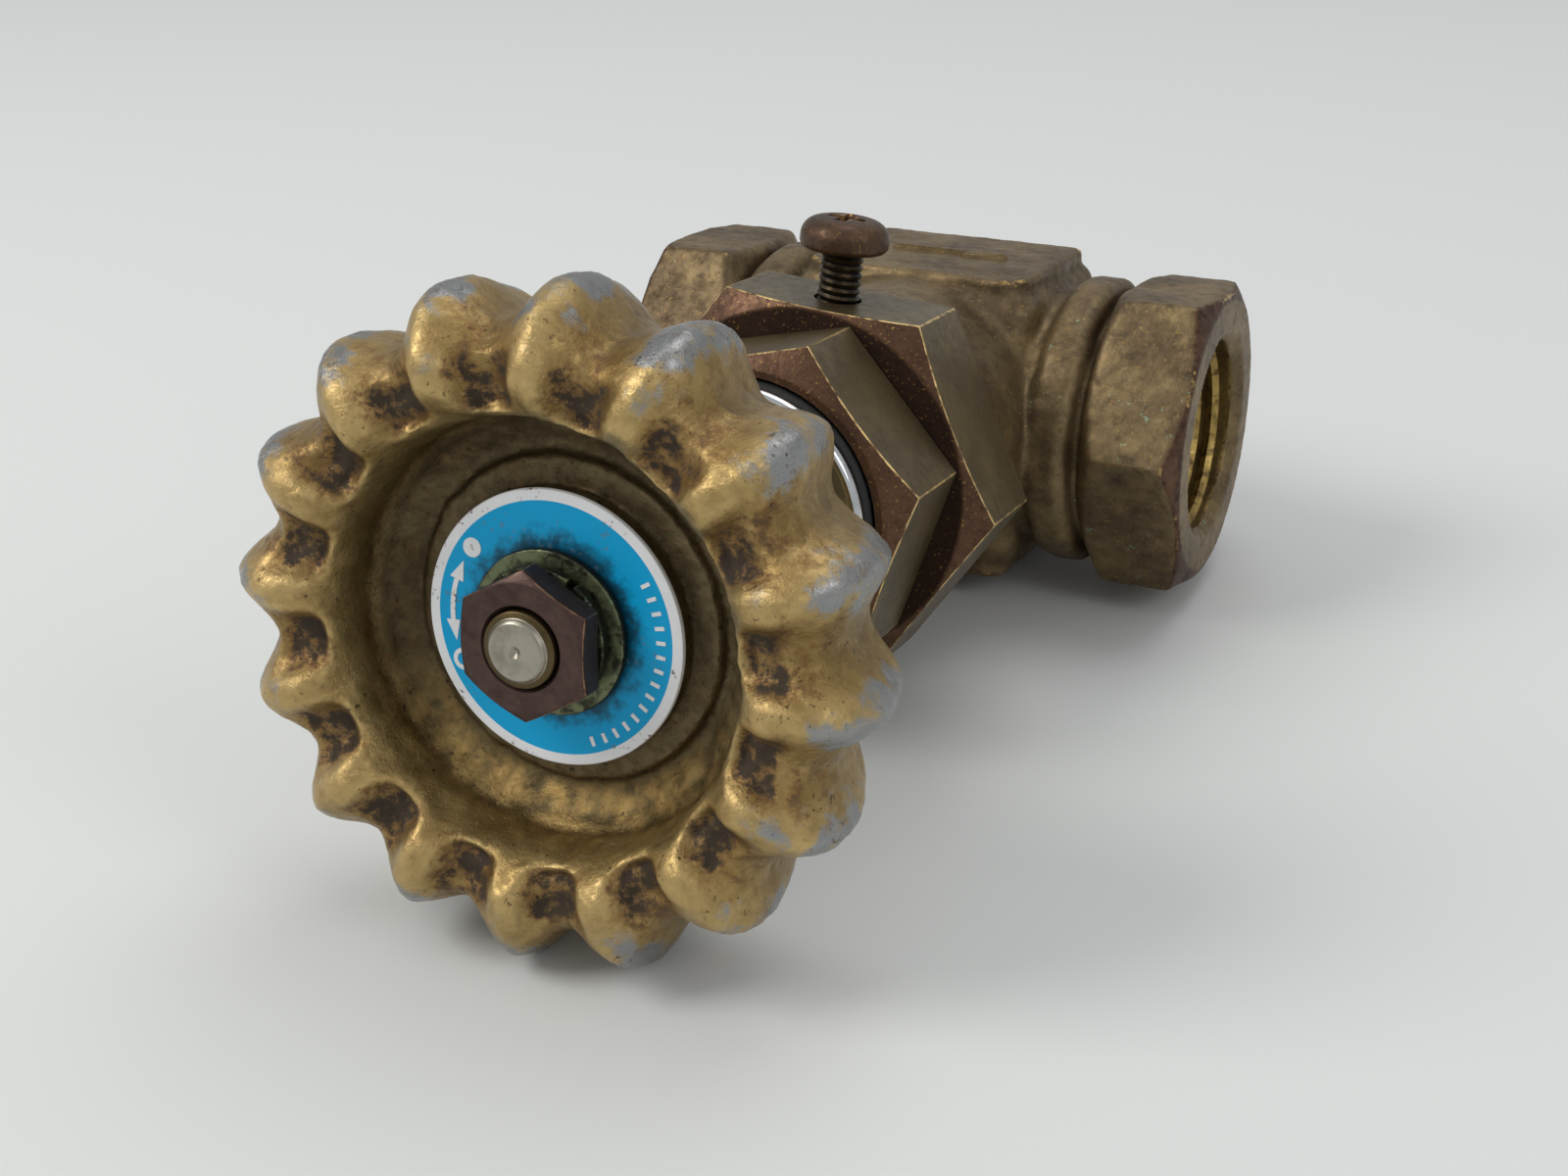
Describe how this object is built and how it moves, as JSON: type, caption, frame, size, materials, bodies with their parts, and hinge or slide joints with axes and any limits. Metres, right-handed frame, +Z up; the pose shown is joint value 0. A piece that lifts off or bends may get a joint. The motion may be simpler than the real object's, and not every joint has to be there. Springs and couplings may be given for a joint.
{
  "type": "lockshield stop valve",
  "caption": "Brass in-line stop valve with hexagonal threaded ports, scalloped handwheel on a rising stem, gland nut and stem lock screw.",
  "frame": {"origin": "on the bench the valve lies on, under the middle of its overall box", "axes": "+Z up; +X along the run axis, out of the right-hand port; the stem and handwheel point to -Y, raised 6.9 degrees as the valve comes to rest on its lower pad and the wheel's rim"},
  "size_m": [0.0584, 0.1038, 0.0516],
  "materials": {
    "forged_brass": "forged and tumbled brass, dull brown, with worn gold specks and a little verdigris",
    "machined_brass": "milled flats in dull bronze, turned faces red-brown, bright worn edges",
    "inner_brass": "turned brass, clean",
    "copper": "annealed copper ring",
    "packing_fibre": "braided graphite packing",
    "polished_steel": "polished bright",
    "black_rubber": "matt black",
    "turned_steel": "turned, satin",
    "gold_zinc": "gold paint over zinc die casting, worn through to grey on the lobes and dirty in the hollows",
    "printed_blue": "printed aluminium disc, blue with a white rim",
    "dark_steel": "olive dark, oxidised",
    "bronzed_steel": "plum-brown finish, worn at the edges",
    "white_ptfe": "plain"
  },
  "bodies": {
    "root": {"valve_body": "forged_brass", "bonnet": "machined_brass", "bonnet_gasket": "copper", "gland_nut": "machined_brass", "gland_follower": "inner_brass", "packing_washer": "inner_brass", "packing_ring_1": "packing_fibre", "packing_ring_2": "packing_fibre", "packing_ring_3": "packing_fibre", "dust_ring": "polished_steel", "dust_seal": "black_rubber"},
    "disc": {"disc_holder": "inner_brass", "seat_disc": "black_rubber", "disc_washer": "inner_brass", "disc_nut": "inner_brass", "head_retainer": "inner_brass"},
    "spindle": {"stem": "turned_steel", "handwheel": "gold_zinc", "wheel_label": "printed_blue", "wheel_washer": "dark_steel", "spring_washer": "dark_steel", "wheel_nut": "bronzed_steel"},
    "lock_pad": {"lock_pad": "white_ptfe"},
    "lock_screw": {"lock_screw": "bronzed_steel"}
  },
  "joints": [
    {"name": "disc_lift", "type": "slide", "parent": "root", "child": "disc", "axis": [0, -0.9927, 0.1206], "range_m": [-0.00301, 0.00451]},
    {"name": "wheel_turn", "type": "hinge", "parent": "disc", "child": "spindle", "pos_m": [0, 0.03585, 0.01622], "axis": [0, -0.9927, 0.1206], "range_deg": [-720, 1080]},
    {"name": "lock_pad_slide", "type": "slide", "parent": "root", "child": "lock_pad", "axis": [0.075, 0.1203, 0.9899], "range_m": [-0.00192, 0.00069]},
    {"name": "lock_screw_turn", "type": "hinge", "parent": "lock_pad", "child": "lock_screw", "pos_m": [0, 0.00463, 0.02001], "axis": [0.075, 0.1203, 0.9899], "range_deg": [-990, 360]}
  ],
  "couplings": [
    {"joint": "disc_lift", "follows": "wheel_turn", "m_per_rad": 0.00023873},
    {"joint": "lock_screw_turn", "follows": "lock_pad_slide", "rad_per_m": 8976}
  ]
}
